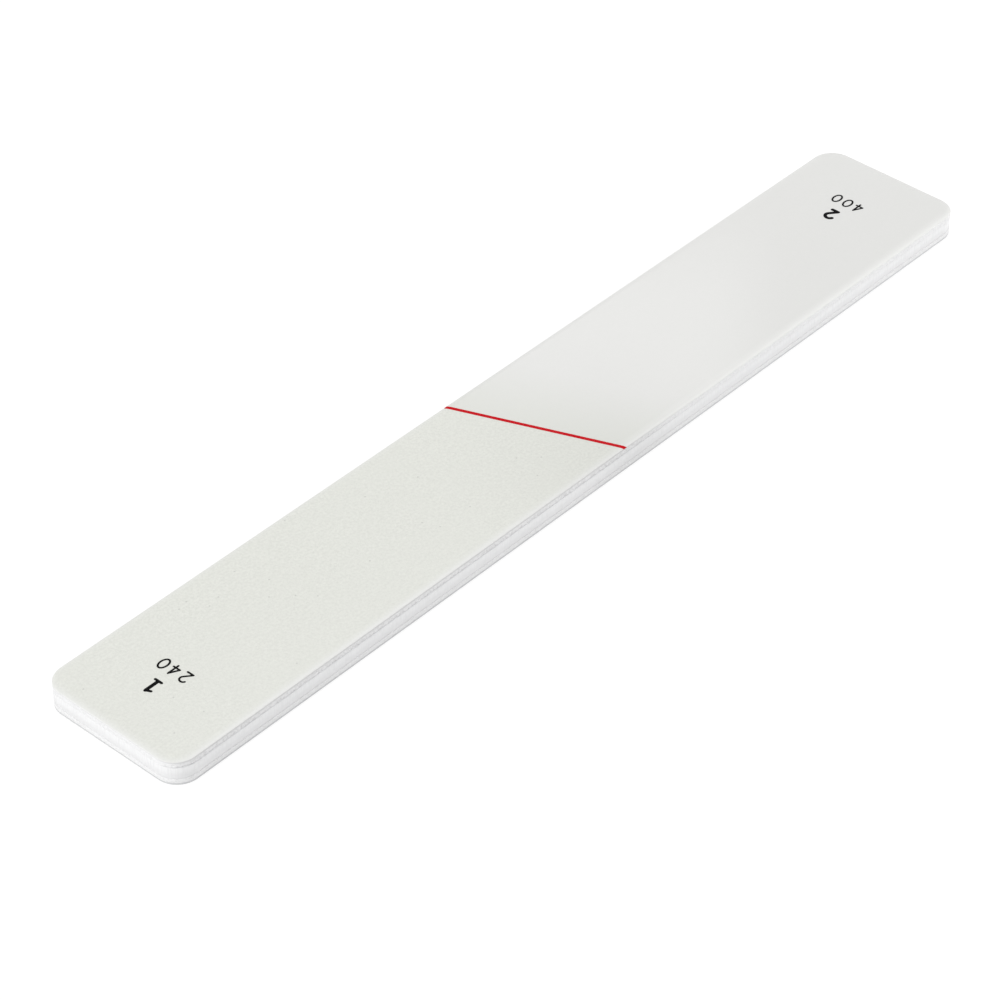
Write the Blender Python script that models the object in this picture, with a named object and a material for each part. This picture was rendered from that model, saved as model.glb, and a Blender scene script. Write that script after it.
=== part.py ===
# Four-step nail file board, a flat laminate cut out of sheet stock with a die.
# A stiff core lies between two thin foam layers, and each face carries two abrasive
# sheets that meet under a slanting red divider line.
#
# Units are metres. +X runs along the board from step 1 to step 2, +Y runs across it and
# +Z is up. The origin is the middle of the underside.

import math

import bmesh
import bpy
from mathutils import Vector
from mathutils.geometry import delaunay_2d_cdt

MM = 0.001

# Outline of the board, the same for every layer
BOARD_LENGTH = 178.0 * MM
BOARD_WIDTH = 27.0 * MM
CORNER_RADIUS = 3.8 * MM
CORNER_STEPS = 16

# Layers from the middle of the board to either face
CORE_THICKNESS = 1.92 * MM
CORE_GLUE_THICKNESS = 0.06 * MM
FOAM_THICKNESS = 0.79 * MM
SHEET_GLUE_THICKNESS = 0.06 * MM
PAPER_THICKNESS = 0.20 * MM
COAT_THICKNESS = 0.08 * MM

# Print, which soaks into the coat and ends flush with it
INK_DEPTH = 0.03 * MM

# Divider line: where its middle crosses the board's long axis, and how far it leans
# from straight across
DIVIDER_X = -0.95 * MM
DIVIDER_WIDTH = 0.60 * MM
DIVIDER_LEAN = math.radians(21.8)

# Step numerals, whose tops point to the step 1 end
NUMERAL_HEIGHT = 3.0 * MM
NUMERAL_STROKE = 0.58 * MM
NUMERAL_SIDE_SHIFT = 1.1 * MM
FIRST_NUMERAL_SETBACK = 9.5 * MM
SECOND_NUMERAL_SETBACK = 15.5 * MM
NUMERAL_ARC_STEPS = 20

# How far a cutter runs past what it cuts
CUTTER_OVERSHOOT = 0.5 * MM

# Heights of the layer boundaries above the middle of the board
CORE_TOP = CORE_THICKNESS / 2
FOAM_BOTTOM = CORE_TOP + CORE_GLUE_THICKNESS
FOAM_TOP = FOAM_BOTTOM + FOAM_THICKNESS
PAPER_BOTTOM = FOAM_TOP + SHEET_GLUE_THICKNESS
COAT_BOTTOM = PAPER_BOTTOM + PAPER_THICKNESS
FACE_HEIGHT = COAT_BOTTOM + COAT_THICKNESS
INK_BOTTOM = FACE_HEIGHT - INK_DEPTH

# Linear base colour and roughness of each material
FINISHES = {
    "core_plastic": ((0.86, 0.87, 0.89), 0.42),
    "foam": ((0.80, 0.80, 0.82), 0.90),
    "glue_film": ((0.70, 0.71, 0.73), 0.35),
    "backing_paper": ((0.74, 0.74, 0.73), 0.85),
    "shaping_grit": ((0.77, 0.78, 0.73), 0.95),
    "buffing_grit": ((0.79, 0.79, 0.78), 0.80),
    "smoothing_grit": ((0.66, 0.67, 0.67), 0.70),
    "polishing_film": ((0.58, 0.60, 0.62), 0.45),
    "red_ink": ((0.45, 0.006, 0.012), 0.60),
    "black_ink": ((0.010, 0.010, 0.011), 0.60),
}

# Each face's two steps: name, numeral, coat material, and the end it lies at
UPPER_STEPS = (("shaping", "1", "shaping_grit", -1), ("buffing", "2", "buffing_grit", 1))
LOWER_STEPS = (("smoothing", "3", "smoothing_grit", -1), ("polishing", "4", "polishing_film", 1))


def clear_scene():
    for obj in list(bpy.data.objects):
        bpy.data.objects.remove(obj)


def make_materials():
    made = {}
    for name, (color, roughness) in FINISHES.items():
        material = bpy.data.materials.new(name)
        material.use_nodes = True
        shader = material.node_tree.nodes["Principled BSDF"]
        shader.inputs["Base Color"].default_value = (*color, 1.0)
        shader.inputs["Roughness"].default_value = roughness
        shader.inputs["Metallic"].default_value = 0.0
        made[name] = material
    return made


def arc(centre, radii, start, end, steps):
    """Points along an elliptical arc, in degrees, with both of its ends."""
    turns = [math.radians(start + (end - start) * i / steps) for i in range(steps + 1)]
    return [Vector((centre[0] + radii[0] * math.cos(t), centre[1] + radii[1] * math.sin(t))) for t in turns]


def corner(x_sign, y_sign, start):
    """One rounded corner of the board, anticlockwise from the angle start."""
    centre = (x_sign * (BOARD_LENGTH / 2 - CORNER_RADIUS), y_sign * (BOARD_WIDTH / 2 - CORNER_RADIUS))
    return arc(centre, (CORNER_RADIUS, CORNER_RADIUS), start, start + 90, CORNER_STEPS)


def board_outline():
    return corner(1, 1, 0) + corner(-1, 1, 90) + corner(-1, -1, 180) + corner(1, -1, 270)


def divider_x(y):
    """Where the middle of the divider line lies at the height y across the board."""
    return DIVIDER_X - y * math.tan(DIVIDER_LEAN)


def zone_outline(end):
    """The half of the board at one end, cut off along the middle of the divider line."""
    near, far = (Vector((divider_x(y), y)) for y in (-BOARD_WIDTH / 2, BOARD_WIDTH / 2))
    if end < 0:
        return corner(-1, 1, 90) + corner(-1, -1, 180) + [near, far]
    return corner(1, -1, 270) + corner(1, 1, 0) + [far, near]


def divider_outline(past_edge):
    """The divider line as a strip that runs past both long edges by past_edge."""
    half_run = DIVIDER_WIDTH / 2 / math.cos(DIVIDER_LEAN)
    reach = BOARD_WIDTH / 2 + past_edge
    near, far = (divider_x(y) for y in (-reach, reach))
    corners = ((near - half_run, -reach), (near + half_run, -reach), (far + half_run, reach), (far - half_run, reach))
    return [Vector(point) for point in corners]


def stroke(path, width):
    """Outline of a flat stroke along a path, square at its ends and mitred at its bends."""
    left, right = [], []
    for i, point in enumerate(path):
        before = (point - path[i - 1]).normalized() if i else None
        after = (path[i + 1] - point).normalized() if i + 1 < len(path) else None
        along = ((before or after) + (after or before)).normalized()
        side = Vector((-along.y, along.x))
        reach = width / 2 / along.dot(after or before)
        left.append(point + side * reach)
        right.append(point - side * reach)
    return right + left[::-1]


def numeral_strokes(digit, weight):
    """Stroke paths of a digit one unit high, drawn with strokes of the given weight."""
    half = weight / 2
    middle = (1 - weight) / 4
    if digit == "1":
        paths = [[(0.34, 0), (0.34, 1)], [(0.04, half), (0.62, half)], [(0.06, 0.76), (0.34, 0.90)]]
    elif digit == "2":
        bowl = arc((0.32, 1 - half - 0.235), (0.245, 0.235), 158, -38, NUMERAL_ARC_STEPS)
        paths = [bowl + [Vector((half * 2.0, half)), Vector((0.65, half))]]
    elif digit == "3":
        bowl = (0.25, middle)
        upper = arc((0.29, 0.5 + middle), bowl, 150, -90, NUMERAL_ARC_STEPS)
        lower = arc((0.29, 0.5 - middle), bowl, 90, -150, NUMERAL_ARC_STEPS)
        paths = [upper, lower, [(0.17, 0.5), (0.32, 0.5)]]
    else:
        paths = [[(0.46, 0), (0.46, 1)], [(0.46, 0.92), (0.15, 0.28), (0.68, 0.28)]]
    return [stroke([Vector(point) for point in path], weight) for path in paths]


def merged(outlines):
    """Joins overlapping outlines into one flat patch of triangles."""
    points, faces = [], []
    for outline in outlines:
        faces.append(list(range(len(points), len(points) + len(outline))))
        points.extend(outline)
    points, _, triangles, _, _, sources = delaunay_2d_cdt(points, [], faces, 0, 1e-6)
    return points, [triangle for triangle, source in zip(triangles, sources) if source]


def numeral_patch(digit, end):
    """A step's numeral in its place on the face: it reads along +Y and its top points to -X."""
    points, triangles = merged(numeral_strokes(digit, NUMERAL_STROKE / NUMERAL_HEIGHT))
    middle_x = (min(p.x for p in points) + max(p.x for p in points)) / 2
    setback = FIRST_NUMERAL_SETBACK if end < 0 else SECOND_NUMERAL_SETBACK
    place = Vector((end * (BOARD_LENGTH / 2 - setback), NUMERAL_SIDE_SHIFT))
    turned = [Vector((0.5 - p.y, p.x - middle_x)) * NUMERAL_HEIGHT + place for p in points]
    return turned, triangles


def patch_of(outline):
    return outline, [list(range(len(outline)))]


def slab(name, patch, low, high, material, parent):
    """A flat piece of even thickness, from a patch and the heights of its two faces."""
    points, faces = patch
    mesh = bpy.data.meshes.new(name)
    shape = bmesh.new()
    corners = [shape.verts.new((point[0], point[1], low)) for point in points]
    for face in faces:
        shape.faces.new([corners[i] for i in face])
    loose = [corner for corner in corners if not corner.link_faces]
    bmesh.ops.delete(shape, geom=loose, context="VERTS")
    raised = bmesh.ops.extrude_face_region(shape, geom=shape.faces[:])
    for item in raised["geom"]:
        if isinstance(item, bmesh.types.BMVert):
            item.co.z = high
    bmesh.ops.recalc_face_normals(shape, faces=shape.faces[:])
    shape.to_mesh(mesh)
    shape.free()
    if material:
        mesh.materials.append(material)
    obj = bpy.data.objects.new(name, mesh)
    obj.parent = parent
    bpy.context.scene.collection.objects.link(obj)
    return obj


def ink_cutter(name, patch, parent):
    """A hidden copy of the print that is tall enough to cut its pocket in the coat."""
    cutter = slab(name, patch, INK_BOTTOM, FACE_HEIGHT + CUTTER_OVERSHOOT, None, parent)
    cutter.hide_render = True
    cutter.display_type = "WIRE"
    return cutter


def cut_pocket(coat, cutter):
    pocket = coat.modifiers.new(cutter.name, "BOOLEAN")
    pocket.operation = "DIFFERENCE"
    pocket.solver = "EXACT"
    pocket.object = cutter


def make_step(step, digit, grit, end, divider_cutter, face, materials):
    """One abrasive sheet with its glue film and its numeral."""
    zone = patch_of(zone_outline(end))
    slab(f"{step}_sheet_glue", zone, FOAM_TOP, PAPER_BOTTOM, materials["glue_film"], face)
    slab(f"{step}_backing_paper", zone, PAPER_BOTTOM, COAT_BOTTOM, materials["backing_paper"], face)
    coat = slab(f"{step}_coat", zone, COAT_BOTTOM, FACE_HEIGHT, materials[grit], face)
    numeral = numeral_patch(digit, end)
    slab(f"numeral_{digit}", numeral, INK_BOTTOM, FACE_HEIGHT, materials["black_ink"], face)
    cut_pocket(coat, divider_cutter)
    cut_pocket(coat, ink_cutter(f"numeral_{digit}_cutter", numeral, face))


def make_face(side, steps, board, materials):
    """Everything that is laid on one face of the core, built as if that face were up."""
    face = bpy.data.objects.new(f"{side}_face", None)
    face.parent = board
    face.location.z = FACE_HEIGHT
    face.rotation_mode = "QUATERNION"
    if side == "lower":
        # Half a turn about the board's long axis
        face.rotation_quaternion = (0, 1, 0, 0)
    bpy.context.scene.collection.objects.link(face)

    whole = patch_of(board_outline())
    slab(f"{side}_core_glue", whole, CORE_TOP, FOAM_BOTTOM, materials["glue_film"], face)
    slab(f"{side}_foam", whole, FOAM_BOTTOM, FOAM_TOP, materials["foam"], face)
    line = patch_of(divider_outline(0))
    slab(f"{side}_divider_line", line, INK_BOTTOM, FACE_HEIGHT, materials["red_ink"], face)
    long_line = patch_of(divider_outline(CUTTER_OVERSHOOT))
    divider_cutter = ink_cutter(f"{side}_divider_cutter", long_line, face)
    for step, digit, grit, end in steps:
        make_step(step, digit, grit, end, divider_cutter, face, materials)


def make_board():
    clear_scene()
    materials = make_materials()
    board = bpy.data.objects.new("board", None)
    bpy.context.scene.collection.objects.link(board)
    core = slab("core_board", patch_of(board_outline()), -CORE_TOP, CORE_TOP, materials["core_plastic"], board)
    core.location.z = FACE_HEIGHT
    make_face("upper", UPPER_STEPS, board, materials)
    make_face("lower", LOWER_STEPS, board, materials)


make_board()
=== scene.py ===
# %% [markdown]
# # A four-step nail file board
#
# The real board is a laminate. A white plastic core lies in the middle, a thin foam layer
# is bonded to each side of it, and each foam layer carries two abrasive sheets that meet
# under a slanting red line. A steel die then cuts the whole stack out in one blow.
#
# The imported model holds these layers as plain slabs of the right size. This lesson dresses
# them: it gives each layer the edge that the die leaves on it, strews the grit, prints the
# line and the numbers, and gives every layer its own finish. It loads the model first, and
# every size below is read from it or named where it is first needed.

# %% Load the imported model
import math

import bmesh
import bpy
import numpy as np
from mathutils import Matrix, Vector, noise
from mathutils.geometry import delaunay_2d_cdt


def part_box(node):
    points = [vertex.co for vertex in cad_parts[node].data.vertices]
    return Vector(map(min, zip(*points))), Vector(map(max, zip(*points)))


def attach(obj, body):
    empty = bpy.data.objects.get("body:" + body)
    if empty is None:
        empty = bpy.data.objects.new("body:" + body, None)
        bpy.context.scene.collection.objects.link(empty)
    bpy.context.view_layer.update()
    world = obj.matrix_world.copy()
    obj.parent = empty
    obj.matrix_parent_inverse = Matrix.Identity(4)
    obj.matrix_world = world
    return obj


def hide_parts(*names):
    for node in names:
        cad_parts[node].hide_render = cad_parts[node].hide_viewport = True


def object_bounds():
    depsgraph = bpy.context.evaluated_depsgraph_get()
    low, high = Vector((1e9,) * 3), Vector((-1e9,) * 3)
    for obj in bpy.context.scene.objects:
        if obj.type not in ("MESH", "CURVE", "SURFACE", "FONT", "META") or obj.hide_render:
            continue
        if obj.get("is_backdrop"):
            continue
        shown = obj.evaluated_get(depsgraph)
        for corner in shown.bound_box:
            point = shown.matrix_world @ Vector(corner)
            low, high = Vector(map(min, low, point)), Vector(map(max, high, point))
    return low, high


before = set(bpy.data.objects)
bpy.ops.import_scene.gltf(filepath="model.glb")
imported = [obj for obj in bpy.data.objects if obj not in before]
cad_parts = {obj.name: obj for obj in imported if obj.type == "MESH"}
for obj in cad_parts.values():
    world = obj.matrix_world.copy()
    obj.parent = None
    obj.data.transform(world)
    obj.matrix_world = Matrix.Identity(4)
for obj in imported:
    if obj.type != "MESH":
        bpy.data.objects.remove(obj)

cad_low, cad_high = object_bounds()
MM = 0.001
print("CAD box in mm:", [round(side / MM, 3) for side in cad_high - cad_low])

# %% [markdown]
# ## Sizes from the frame
#
# Both faces of the board are alike, so a height is measured from the middle of the board
# outwards: the upper face is built as it lies, and the lower face is the same thing given
# half a turn about the long axis. The heights of the layers come from the boxes of the
# slabs, and the radius of the corners from the length of the straight stretch at the end.

# %% Outline and layer heights
MIDDLE = (cad_low.z + cad_high.z) / 2
HALF_LENGTH = cad_high.x
HALF_WIDTH = cad_high.y
TOUCHING = 0.001 * MM


def slab_points(node):
    return [vertex.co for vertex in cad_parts[node].data.vertices]


end_y = [co.y for co in slab_points("core_board") if co.x > HALF_LENGTH - TOUCHING]
CORNER_RADIUS = HALF_WIDTH - max(end_y)


def layer_heights(node):
    """Where an upper node starts and ends, above the middle of the board."""
    low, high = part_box(node)
    return low.z - MIDDLE, high.z - MIDDLE


CORE_TOP = layer_heights("core_board")[1]
FOAM_BOTTOM, FOAM_TOP = layer_heights("upper_foam")
PAPER_BOTTOM, PAPER_TOP = layer_heights("shaping_backing_paper")
RESIN_TOP, FACE = layer_heights("upper_divider_line")
tops = np.array((CORE_TOP, FOAM_TOP, PAPER_TOP, RESIN_TOP, FACE))
print("corner radius in mm:", round(CORNER_RADIUS / MM, 3))
print("tops of core, foam, paper, resin and face, in mm from the middle:", np.round(tops / MM, 3))

# %% [markdown]
# ## The camera
#
# The photograph looks down on the board from its near left, with a long lens. The lens,
# the distance and the angles below reproduce the lines of the photograph's edges.

# %% Camera at the photograph's viewing angle
VIEW_TURN = math.radians(-48.10)
VIEW_RISE = math.radians(39.45)
VIEW_TARGET = Vector((-13.46, -4.19, 0)) * MM
VIEW_DISTANCE = 517.0 * MM
LENS_IN_MM = 124.92
SENSOR_IN_MM = 36.0


def new_object(name, data):
    """Puts a mesh, a camera or a lamp in the scene."""
    made = bpy.data.objects.new(name, data)
    bpy.context.scene.collection.objects.link(made)
    return made


camera = new_object("camera", bpy.data.cameras.new("camera"))
camera.data.lens = LENS_IN_MM
camera.data.sensor_width = SENSOR_IN_MM
camera.data.clip_start = 10 * MM
towards_camera = Vector((
    math.sin(VIEW_TURN) * math.cos(VIEW_RISE),
    -math.cos(VIEW_TURN) * math.cos(VIEW_RISE),
    math.sin(VIEW_RISE),
))
camera.location = VIEW_TARGET + towards_camera * VIEW_DISTANCE
camera.rotation_euler = (-towards_camera).to_track_quat("-Z", "Y").to_euler()
bpy.context.scene.camera = camera
print("camera stands at, in mm:", [round(c / MM, 1) for c in camera.location])

# %% [markdown]
# ## Stations round the outline
#
# Every layer has the same outline, a rectangle with rounded corners, so one walk round it
# serves them all. A station is a pivot and a way out from it: the pivots lie on a smaller
# rectangle, one corner radius in from the edge. A ring at any inset is then each pivot
# plus its way out times what is left of the radius, and all rings have the same count of
# points. That makes a layer's skin a plain grid, with no special case at the corners.

# %% Stations and rings


def outline_stations(spacing):
    """Pivots and outward directions round the board, anticlockwise, about spacing apart."""
    half_runs = (HALF_WIDTH - CORNER_RADIUS, HALF_LENGTH - CORNER_RADIUS)
    bend = math.pi / 2
    turns = np.linspace(0, bend, math.ceil(CORNER_RADIUS * bend / spacing), endpoint=False)
    pivots, outward = [], []
    for side in range(4):
        angle = side * bend
        out = np.array((math.cos(angle), math.sin(angle)))
        ahead = np.array((-out[1], out[0]))
        run, reach = half_runs[side % 2], half_runs[1 - side % 2]
        for step in np.linspace(-1, 1, math.ceil(2 * run / spacing), endpoint=False):
            pivots.append(out * reach + ahead * run * step)
            outward.append(out)
        for turn in turns:
            pivots.append(out * reach + ahead * run)
            outward.append((math.cos(angle + turn), math.sin(angle + turn)))
    return np.array(pivots), np.array(outward)


def ring(stations, inset):
    """The outline's points, moved in from the edge by inset, which may differ along it."""
    pivots, outward = stations
    return pivots + outward * (CORNER_RADIUS - np.reshape(inset, (-1, 1)))


def edge_distance(x, y):
    """How far a point on the board lies in from the outline."""
    inside = np.array((HALF_LENGTH - abs(x), HALF_WIDTH - abs(y)))
    past = np.maximum(CORNER_RADIUS - inside, 0)
    return np.where(past.min(0) > 0, CORNER_RADIUS - np.hypot(*past), inside.min(0))


FINE_SPACING = 0.13 * MM
fine_stations = outline_stations(FINE_SPACING)
print("stations round the board:", len(fine_stations[0]))

# %% [markdown]
# ## Skins, and the two faces
#
# A layer's skin is lofted through rings: the section starts on top, a little way in from
# the edge, runs out over the rim, down the cut and in again below. The flat middle of each
# side is one large face. A lower layer is the upper one with y and z turned over, which is
# half a turn about the long axis, so its faces still point outwards.
#
# Each skin also keeps an attribute called rim, which is highest at the cut edge and fades
# to 0 further in. The coat finishes turn it into a pale frame: partly resin that the die
# crazed near its edge, partly a painted highlight where the rim catches the light. So it is
# set highest along the near edge and lowest at the right end, as the light falls, and lower
# at the corners than along the straight edges.

# %% Loft a layer from its section
RIM_REACH = 0.70 * MM
# How strongly each edge's rim is marked. This follows the light on those edges, so it paints in part
# of a rim highlight.
RIM_MARKS_BY_LIGHT = {(0, -1): 0.98, (-1, 0): 0.80, (0, 1): 0.45, (1, 0): 0.10}
FLIPS = {"upper": 1, "lower": -1}


def turned_over(points, side):
    """Places points that were built above the board's middle on its upper or its lower side."""
    return points * (1, FLIPS[side], FLIPS[side]) + (0, 0, MIDDLE)


def jagged(points, size, depth, seed):
    """A smooth random number between -depth and depth for each point, with lumps of that size."""
    shift = Vector((seed, 0, 0))
    return depth * np.array([noise.noise(Vector(point) / size + shift) for point in points])


def jagged_edge(stations, size, depth, seed, height=0.0):
    """The same for each station, read from its place on the outline."""
    flat = ring(stations, 0)
    return jagged(np.column_stack((flat, np.broadcast_to(height, len(flat)))), size, depth, seed)


def mesh_object(name, points, faces, finish):
    mesh = bpy.data.meshes.new(name)
    mesh.from_pydata(points, [], faces)
    mesh.update()
    mesh.materials.append(finish)
    return new_object(name, mesh)


def store(piece, name, values):
    """Keeps an attribute: a number or a vector for each point of the piece."""
    kind, field = ("FLOAT", "value") if np.ndim(values) == 1 else ("FLOAT_VECTOR", "vector")
    piece.data.attributes.new(name, kind, "POINT").data.foreach_set(field, np.ravel(values))


def layer_skin(name, side, stations, section, finish, edge=0):
    """A closed layer whose own edge lies in by edge. The section is a list of (insets, heights),
    from its top round to its bottom."""
    count = len(stations[0])
    rings = []
    for insets, heights in section:
        rings.append(np.column_stack((ring(stations, insets), np.broadcast_to(heights, count))))
    points = np.concatenate(rings)
    own_edge = np.tile(np.broadcast_to(edge, count), len(section))
    inside = edge_distance(points[:, 0], points[:, 1]) - own_edge
    marks = sum(mark * np.maximum(stations[1] @ out, 0) ** 3 for out, mark in RIM_MARKS_BY_LIGHT.items())
    rim = np.exp(-np.maximum(inside, 0) / RIM_REACH) * np.tile(marks, len(section))
    faces = [list(range(count))]
    for row in range(len(section) - 1):
        for i in range(count):
            here, ahead = row * count + i, row * count + (i + 1) % count
            faces.append((here, here + count, ahead + count, ahead))
    faces.append(list(range(len(points) - 1, len(points) - 1 - count, -1)))
    made = mesh_object(name, turned_over(points, side), faces, finish)
    store(made, "rim", rim)
    made.data.shade_smooth()
    return made


def hand_over(piece, slot, *nodes):
    """The piece rides on the board and stands for its slabs, which it hides. The slot is not used."""
    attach(piece, "root")
    if nodes:
        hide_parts(*nodes)
    triangles = sum(len(face.vertices) - 2 for face in piece.data.polygons)
    print(f"{piece.name}: {triangles} triangles")


# %% [markdown]
# ## Building a finish
#
# Each finish is a Principled shader fed by noise. All noises read the object's own
# coordinates in metres, so a pattern keeps its real size: its scale is one over the size of
# a lump. One helper adds a node and wires what feeds it. Others make the usual steps, from
# a noise to its even spread and to a colour between two shades or two tones of one shade.
# One more darkens a colour round a spot near the near end of the joint, which is painted shade.

# %% Helpers for node trees


def add(tree, kind, inputs=None, **settings):
    """Adds a node. An input is a value, or the output of another node that feeds it."""
    made = tree.nodes.new(kind)
    for name, value in settings.items():
        setattr(made, name, value)
    for name, value in (inputs or {}).items():
        if isinstance(value, bpy.types.NodeSocket):
            tree.links.new(value, made.inputs[name])
        else:
            made.inputs[name].default_value = value
    return made


def ramp(tree, value, low, high, start=0.0, end=1.0):
    """Stretches value, from low to high, over start to end, and stops there."""
    limits = {"Value": value, "From Min": low, "From Max": high, "To Min": start, "To Max": end}
    return add(tree, "ShaderNodeMapRange", limits).outputs["Result"]


def maths(tree, operation, *values):
    return add(tree, "ShaderNodeMath", dict(enumerate(values)), operation=operation).outputs["Value"]


def product(tree, first, *others):
    for other in others:
        first = maths(tree, "MULTIPLY", first, other)
    return first


def vectors(tree, operation, *values, output="Vector"):
    made = add(tree, "ShaderNodeVectorMath", dict(enumerate(values)), operation=operation)
    return made.outputs[output]


def shades(tree, factor, dark, light):
    """A colour between two, by factor. Each is three numbers, or the output of a node."""
    inputs = {0: factor}
    for socket, shade in ((6, dark), (7, light)):
        inputs[socket] = shade if isinstance(shade, bpy.types.NodeSocket) else (*shade, 1)
    return add(tree, "ShaderNodeMix", inputs, data_type="RGBA").outputs[2]


def lightened(shade, factor):
    return tuple(min(channel * factor, 1) for channel in shade)


def tones(tree, factor, shade, dark, light):
    """The same between two tones of one shade, which are given by how much they lighten it."""
    return shades(tree, factor, lightened(shade, dark), lightened(shade, light))


def own_place(tree):
    return add(tree, "ShaderNodeTexCoord").outputs["Object"]


def stored(tree, name):
    """An attribute that the piece keeps for its points."""
    return add(tree, "ShaderNodeAttribute", attribute_name=name).outputs["Fac"]


def lumps(tree, size, detail=2.0, stretch=(1, 1, 1)):
    """Smooth noise on the object's own coordinates, with lumps of that size in metres."""
    mapped = add(tree, "ShaderNodeMapping", {"Vector": own_place(tree), "Scale": stretch})
    inputs = {"Vector": mapped.outputs["Vector"], "Scale": 1 / size, "Detail": detail}
    return add(tree, "ShaderNodeTexNoise", inputs).outputs["Fac"]


NOISE_SPAN = (0.3, 0.7)


def even_lumps(tree, size, detail=2.0, stretch=(1, 1, 1), start=0.0, end=1.0):
    """The same noise, spread evenly over start to end."""
    return ramp(tree, lumps(tree, size, detail, stretch), *NOISE_SPAN, start, end)


def cells(tree, size, output="Distance", space="3D"):
    """Random cells of that size: the distance to each cell's middle, or the cell's own colour."""
    inputs = {"Vector": own_place(tree), "Scale": 1 / size}
    return add(tree, "ShaderNodeTexVoronoi", inputs, voronoi_dimensions=space).outputs[output]


# The grey of a painted shade spot by the near end of the joint.
PAINTED_SHADE_GREY = (0.10, 0.10, 0.09)


def painted_shade_spot(tree, colour, shade_centre, reach, shade_strength):
    """A colour darkened by a painted shade spot: most at a place on the board, and fading over a
    reach.
    """
    level = vectors(tree, "MULTIPLY", own_place(tree), (1, 1, 0))
    away = vectors(tree, "DISTANCE", level, shade_centre, output="Value")
    squared = maths(tree, "POWER", maths(tree, "DIVIDE", away, reach), 2.0)
    fading = maths(tree, "EXPONENT", product(tree, squared, -1.0))
    return shades(tree, product(tree, fading, shade_strength), colour, PAINTED_SHADE_GREY)


# A painted shade spot on the cut edges: its centre, how far it fades and how dark it is.
EDGE_SHADE_SPOT = {"shade_centre": (6.5 * MM, -13.5 * MM, 0), "reach": 8 * MM, "shade_strength": 0.085}
ROUGHNESS_LUMP = 1.5 * MM
ROUGHNESS_SPREAD = 0.04


def new_finish(name, colour_of, height_of, bump, roughness, **sockets):
    """A material from two functions: one builds its colour and one its relief, in metres."""
    material = bpy.data.materials.new(name)
    material.use_nodes = True
    tree = material.node_tree
    shader = tree.nodes["Principled BSDF"]
    tree.links.new(colour_of(tree), shader.inputs["Base Color"])
    relief = {"Height": height_of(tree), "Distance": bump, "Strength": 1.0}
    tree.links.new(add(tree, "ShaderNodeBump", relief).outputs["Normal"], shader.inputs["Normal"])
    limits = {"start": roughness - ROUGHNESS_SPREAD, "end": roughness + ROUGHNESS_SPREAD}
    tree.links.new(even_lumps(tree, ROUGHNESS_LUMP, **limits), shader.inputs["Roughness"])
    for socket, value in sockets.items():
        shader.inputs[socket.replace("_", " ")].default_value = value
    return material


# %% [markdown]
# ## The core
#
# The core is a stiff white plastic board, nearly 2 mm thick. The die shears it, which
# leaves two zones: a burnished one above, where the blade slid down, and a broken one
# below, which stands back by a hair. Its colour is lighter above and darker below: partly
# these zones, partly painted shade, as the side is lit more from above than below. Both
# zones lie on a shallow bulge between rounded arrises, with faint upright scratches. A plain
# bevelled slab would look like a painted stripe, so the section here is an arc with a step,
# the colour changes with height along an uneven line, and the scratches are a noise that is
# drawn out along z.

# %% Core plate
CORE_BULGE = 0.08 * MM
CORE_ARRIS = 0.12 * MM
BROKEN_ARRIS = 0.015 * MM
SCRATCH_SPACING = 0.3 * MM
SCRATCH_DEPTH = 0.016 * MM
SCRATCH_SEED = 3
CAP_INSET = 1.6 * MM
CORE_RISES = (*np.linspace(0.85, -0.90, 11), -0.96)
BURNISHED_TO = MIDDLE + 0.35 * MM
BROKEN_FROM = MIDDLE - 0.30 * MM
ZONE_WANDER = 0.15 * MM
BROKEN_SETBACK = 0.02 * MM
# Lighter above and darker below: partly the die's burnished and broken zones, partly painted shade.
BURNISHED_AND_LIT_WHITE = (0.893, 0.895, 0.897)
BROKEN_AND_SHADED_WHITE = (0.842, 0.843, 0.846)


def core_colour(tree):
    height = add(tree, "ShaderNodeSeparateXYZ", {0: own_place(tree)}).outputs["Z"]
    wander = even_lumps(tree, 1.4 * MM, 3, start=-ZONE_WANDER, end=ZONE_WANDER)
    zone = ramp(tree, maths(tree, "ADD", height, wander), BROKEN_FROM, BURNISHED_TO)
    zones = shades(tree, zone, BROKEN_AND_SHADED_WHITE, BURNISHED_AND_LIT_WHITE)
    streaks = ramp(tree, lumps(tree, 0.22 * MM, 4, stretch=(1, 1, 0.1)), 0.42, 0.75, 0.0, 0.6)
    return painted_shade_spot(tree, shades(tree, streaks, zones, lightened(BROKEN_AND_SHADED_WHITE, 0.92)), **EDGE_SHADE_SPOT)


def core_relief(tree):
    return lumps(tree, 0.2 * MM, 3, stretch=(1, 1, 0.15))


def core_section(stations):
    scratches = jagged_edge(stations, SCRATCH_SPACING, SCRATCH_DEPTH, SCRATCH_SEED)
    section = [(CAP_INSET, CORE_TOP)]
    for turn in np.radians((90, 60, 30)):
        inset = CORE_BULGE + CORE_ARRIS * (1 - math.cos(turn))
        section.append((inset, CORE_TOP - CORE_ARRIS * (1 - math.sin(turn))))
    for rise in CORE_RISES:
        height = MIDDLE + CORE_TOP * rise
        broken = np.interp(height, (BROKEN_FROM, BURNISHED_TO), (1, 0))
        cut = CORE_BULGE * rise**2 + BROKEN_SETBACK * broken
        section.append((cut + scratches + SCRATCH_DEPTH, CORE_TOP * rise))
    for turn in np.radians((-30, -60, -90)):
        inset = CORE_BULGE + BROKEN_SETBACK + BROKEN_ARRIS * (1 - math.cos(turn))
        section.append((inset, -CORE_TOP + BROKEN_ARRIS * (1 + math.sin(turn))))
    section.append((CAP_INSET, -CORE_TOP))
    return section


core_finish = new_finish("core_plastic_cut", core_colour, core_relief, bump=0.01 * MM, roughness=0.45)
core = layer_skin("core_plate", "upper", fine_stations, core_section(fine_stations), core_finish)
hand_over(core, "core_plastic", "core_board")

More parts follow.
